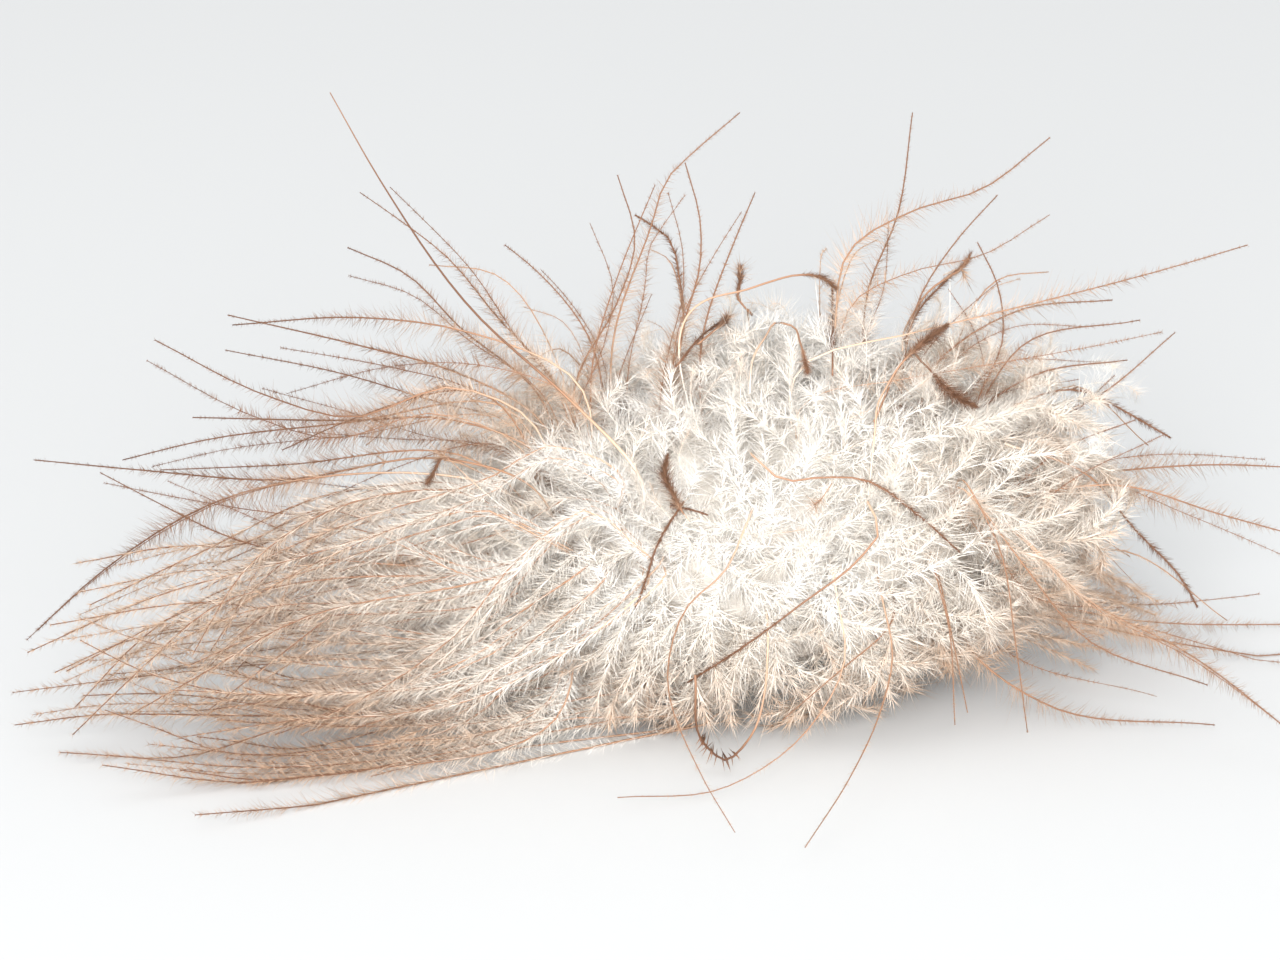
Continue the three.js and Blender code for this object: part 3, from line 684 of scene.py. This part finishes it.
# The white mass: plumes that start near the inner shaft, arch outwards to the oval's surface
# and comb along it. Reach is how far out they end, as a share of the oval, and under what that
# loses beneath. Comb draws them outwards along each axis, hang down and random anywhere.
white = {
    "plumes": 1090,
    "lowestWay": -0.8,
    "reach": (0.86, 1.12),
    "under": 0.07,
    "comb": (1.3, 0.0, 1.5),
    "hang": 0.4,
    "random": 0.6,
    "combLength": (2.4, 5.0),
    "steps": 9,
    "brown": [(0, 0.11), (3, 0.05), (6, 0.02)],
    "varied": 0.05,
    # Along Z the white down grows browner towards the bottom: painted shade on its underside. Along X it
    # takes the down's own tan at the left and right ends.
    "tanAndShade": [(0, -3.0, -11.0, 0.1), (0, 5.0, 16.0, 0.16), (2, 7.0, 1.0, 0.23)],
    "shaft": {"sides": 3, "root": 0.03, "tip": 0.012},
    "pieces": ["downFront", "downMiddle", "downRear", "downBack"],
    "fuzz": {
        "within": (0, 5), "pairsPerMm": 15, "lean": 46, "spread": 0.9, "radius": 0.019, "tint": 1.0,
        "paler": -0.02, "unruly": 0.25, "length": [(0, 1.0), (2, 1.3), (5, 1.4)],
    },
}

# How every plume is formed. Its point before the surface and its end are each a share of the
# way out to the surface, and a share of the combed length back or on along it.
plumeForm = {
    "shaken": 0.12,
    "alongShaft": (0.1, 0.9),
    "rootOut": 0.25,
    "beforeOut": 1.02,
    "beforeBack": 0.75,
    "endOut": 0.97,
    "endOn": 0.5,
    "facingPower": 1.5,  # how soon plumes get shorter away from the front and back
    "hangLessBelow": 1.5,
    "leastHang": 0.2,
}

# The thin veil over the mass: a few longer plumes with very fine barbules.
veil = {
    "plumes": 110,
    "lowestWay": 0.25,
    "reach": (1.08, 1.32),
    "under": 0.0,
    "comb": (0.6, 0.0, 0.6),
    "hang": -0.2,
    "random": 0.45,
    "combLength": (2.2, 3.0),
    "steps": 12,
    "brown": [(0, 0.4), (3, 0.22), (7, 0.08)],
    "shaft": {"sides": 3, "root": 0.02, "tip": 0.01},
    "fuzz": {
        "within": (0, 5), "pairsPerMm": 15, "lean": 52, "spread": 0.6, "radius": 0.006, "tint": 0.8,
        "paler": -0.03, "length": [(0, 0.5), (2, 1.1), (5, 1.4)],
    },
}


# Far-side barbs: root on the oval's rootShare, tip on the wide oval at the row's height, and a
# middle point lifted between them, all at the row's evenly spaced angles.
def backPaths():
    paths = []
    for row in back["rows"]:
        turn = np.radians(np.linspace(*row["turn"], row["count"]))
        outward = np.stack([np.cos(turn), np.sin(turn), 0 * turn], -1)
        root = mass["centre"] + mass["half"] * back["rootShare"] * outward
        root[:, 2] += back["rootRise"] * (row["height"] - mass["centre"][2])
        shorter = np.where(np.arange(row["count"]) % 2, 1, back["shorter"])[:, None]
        tip = np.array([mass["centre"][0], 0, row["height"]]) + outward * (*row["reach"], 0) * shorter
        middle = root + back["middle"] * (tip - root) + [0, 0, row["lift"]]
        stops = zip(root, middle, tip)
        paths += [smoothPath([shaftPoint(r), r, m, t], back["steps"]) for r, m, t in stops]
    return onTable(np.array(paths))


# Point = centre + half way (share + lumps + grain), with grain random and lumps = height
# sin(a turn + b sin c rise) sin(d rise + e sin f turn), where a, b, c are wavesAround and
# d, e, f wavesUp, on a grid of turns and rises closed by two poles.
def deepBlock():
    columns, rows = deep["around"], deep["rows"]
    turn = (np.arange(columns) * 2 * np.pi / columns)[None, :]
    rise = np.linspace(-np.pi / 2, np.pi / 2, rows + 2)[1:-1, None]
    a, b, c = deep["wavesAround"]
    d, e, f = deep["wavesUp"]
    lumps = np.sin(a * turn + b * np.sin(c * rise)) * np.sin(d * rise + e * np.sin(f * turn))
    out = deep["share"] + deep["lumps"] * lumps + rng.normal(0, deep["grain"], (rows, columns))
    way = np.stack(np.broadcast_arrays(
        np.cos(rise) * np.cos(turn), np.cos(rise) * np.sin(turn), np.sin(rise)), -1)
    grid = (way * out[..., None]).reshape(-1, 3)
    poles = np.array([[0, 0, -deep["share"]], [0, 0, deep["share"]]])
    vertices = mass["centre"] + mass["half"] * np.vstack([grid, poles])
    vertices[:, 2] += mass["rightUp"] * (vertices[:, 0] - mass["centre"][0])
    i, j = np.meshgrid(np.arange(rows - 1) * columns, np.arange(columns), indexing="ij")
    after = (j + 1) % columns
    walls = np.stack([i + j, i + after, i + columns + after, i + columns + j], -1).reshape(-1, 4)
    j, after = j[0], after[0]
    top = (rows - 1) * columns
    foot = np.stack([after, j, 0 * j + rows * columns], -1)
    head = np.stack([top + j, top + after, 0 * j + rows * columns + 1], -1)
    # The body's colour is painted shade: browner and darker than the down, and browner still towards the
    # bottom.
    brown = deep["brown"] + tanAndShadeAt(vertices, deep)
    place = np.stack([brown, np.full(len(brown), deep["light"])], -1)
    place += rng.uniform(0, deep["mottle"], place.shape)
    return {"vertices": vertices, "faces": [walls, np.concatenate([foot, head])], "place": place}


# Plumes in the oval. Directions are spread evenly by the golden angle, shaken, and kept by the
# share of the oval's area that each stands for. A plume is a quadratic Bezier curve from its
# root, by a point before the surface, to its combed end.
def plumePaths(group):
    n = group["plumes"]
    k = np.arange(n) + 0.5
    up = 1 + (group["lowestWay"] - 1) * k / n
    flat = np.sqrt(1 - up ** 2)
    golden = math.pi * (3 - math.sqrt(5))
    way = np.stack([flat * np.cos(golden * k), flat * np.sin(golden * k), up], -1)
    way = unit(way + rng.normal(0, plumeForm["shaken"], way.shape))
    area = np.linalg.norm(way / mass["half"], axis=1) * mass["half"].min()
    way = way[rng.random(n) < area]
    n = len(way)
    below = np.clip(-way[:, 2:], 0, 1)
    surface = mass["half"] * way * rng.uniform(*group["reach"], (n, 1)) * (1 - group["under"] * below)
    # combed at random, away from the middle and downwards, less so underneath
    sweep = rng.normal(size=way.shape) * group["random"] + way * group["comb"]
    hanging = np.clip(1 - plumeForm["hangLessBelow"] * below, plumeForm["leastHang"], 1)
    sweep[:, 2:] -= group["hang"] * hanging
    normal = unit(way / mass["half"])
    least, most = group["combLength"]
    # longest where they face front or back
    length = least + (most - least) * np.abs(way[:, 1:2]) ** plumeForm["facingPower"]
    sweep = unit(sweep - (sweep * normal).sum(1, keepdims=True) * normal) * length
    share = rng.uniform(*plumeForm["alongShaft"], (n, 1))
    line = mass["shaftFrom"] + share * (mass["shaftTo"] - mass["shaftFrom"])
    root = (line + mass["centre"] + surface * plumeForm["rootOut"]) / 2
    before = mass["centre"] + surface * plumeForm["beforeOut"] - sweep * plumeForm["beforeBack"]
    end = mass["centre"] + surface * plumeForm["endOut"] + sweep * plumeForm["endOn"]
    t = np.linspace(0, 1, group["steps"])[None, :, None]
    paths = root[:, None] * (1 - t) ** 2 + before[:, None] * 2 * t * (1 - t) + end[:, None] * t ** 2
    paths[:, :, 2] += mass["rightUp"] * (paths[:, :, 0] - mass["centre"][0])
    return onTable(paths)


# A group's shafts, browner than its barbs by the power deepen, and any barbules it has.
def grown(paths, group):
    brown, light = np.clip(brownAlong(paths, group), 0, 1), lightOf(paths)
    blocks = [shaftBlock(paths, brown ** group["shaft"].get("deepen", 1.0), light, group["shaft"])]
    if "fuzz" in group:
        blocks.append(barbuleBlock(paths, brown, light, group["fuzz"]))
    return blocks


# A group's routes as paths.
def traced(group):
    return tracedPaths(group["routes"], group["steps"])


makePiece("deepDown", [deepBlock()])
plumes = plumePaths(white)
plumes = plumes[np.argsort(plumes[:, -1, 1])]
for name, paths in zip(white["pieces"], np.array_split(plumes, len(white["pieces"]))):
    makePiece(name, grown(paths, white))
makePiece("veil", grown(plumePaths(veil), veil))

strands = withCompanions(traced(brush), brush)
makePiece("brushOuter", grown(strands[:brush["outer"]], brush))
makePiece("brushInner", grown(strands[brush["outer"]:], brush))
makePiece("reachingBarbs", grown(withCompanions(traced(reaching), reaching), reaching))
makePiece("backBarbs", grown(withCompanions(backPaths(), back), back))
singles = []
for group in (front, curl, bare, lying, leaves, knots, sprays):
    singles += grown(traced(group), group)
tuft = withCompanions(traced(rightTuft), rightTuft)
makePiece("singleBarbs", singles + grown(tuft, rightTuft))


# Floor, light and camera: a pale matt floor, an even white sky, and soft lights as
# (name, place, size, power), the main one low and near the camera.
room = {
    "floorSize": 6,  # in metres, as clipStart
    "floor": (0.595, 0.605, 0.61, 1),
    "floorRoughness": 0.9,
    "floorSpecular": 0.1,
    "sky": 0.8,
    "lights": [
        ("top", (-40, -160, 400), 300, 0.4),
        ("front", (-80, -640, 260), 380, 7.7),
        ("side", (260, -420, 90), 260, 1.1),
    ],
    "sensor": 36,
    "clipStart": 0.01,
    "bounces": 12,
}


# The floor, the sky and the lights, which all point at the origin.
def studio():
    bpy.ops.mesh.primitive_plane_add(size=room["floorSize"])
    floor = bpy.context.object
    floor.name = "floor"
    paper = bpy.data.materials.new("paper")
    paper.use_nodes = True
    surface = paper.node_tree.nodes["Principled BSDF"]
    surface.inputs["Base Color"].default_value = room["floor"]
    surface.inputs["Roughness"].default_value = room["floorRoughness"]
    surface.inputs["Specular IOR Level"].default_value = room["floorSpecular"]
    floor.data.materials.append(paper)
    world = bpy.data.worlds.new("world")
    world.use_nodes = True
    world.node_tree.nodes["Background"].inputs[0].default_value = (1, 1, 1, 1)
    world.node_tree.nodes["Background"].inputs[1].default_value = room["sky"]
    bpy.context.scene.world = world
    for name, place, size, power in room["lights"]:
        light = bpy.data.lights.new(name, "AREA")
        light.size = size * mm
        light.energy = power
        lamp = bpy.data.objects.new(name, light)
        lamp.location = Vector(place) * mm
        lamp.rotation_euler = (-lamp.location).to_track_quat("-Z", "Y").to_euler()
        bpy.context.scene.collection.objects.link(lamp)


# The camera at the eye: lens = sensor distance / width, which shows the view's width at its aim.
def camera():
    data = bpy.data.cameras.new("camera")
    data.sensor_width = room["sensor"]
    data.lens = room["sensor"] * view["distance"] / view["width"]
    data.clip_start = room["clipStart"]
    made = bpy.data.objects.new("camera", data)
    made.location = Vector(eye) * mm
    made.rotation_euler = Vector(viewAlong).to_track_quat("-Z", "Y").to_euler()
    bpy.context.scene.collection.objects.link(made)
    bpy.context.scene.camera = made


studio()
camera()
print("floor, lights and camera placed")
bpy.context.scene.view_settings.view_transform = "Standard"
bpy.context.scene.cycles.max_bounces = room["bounces"]
bpy.context.scene.cycles.diffuse_bounces = room["bounces"]
print("scene ready")
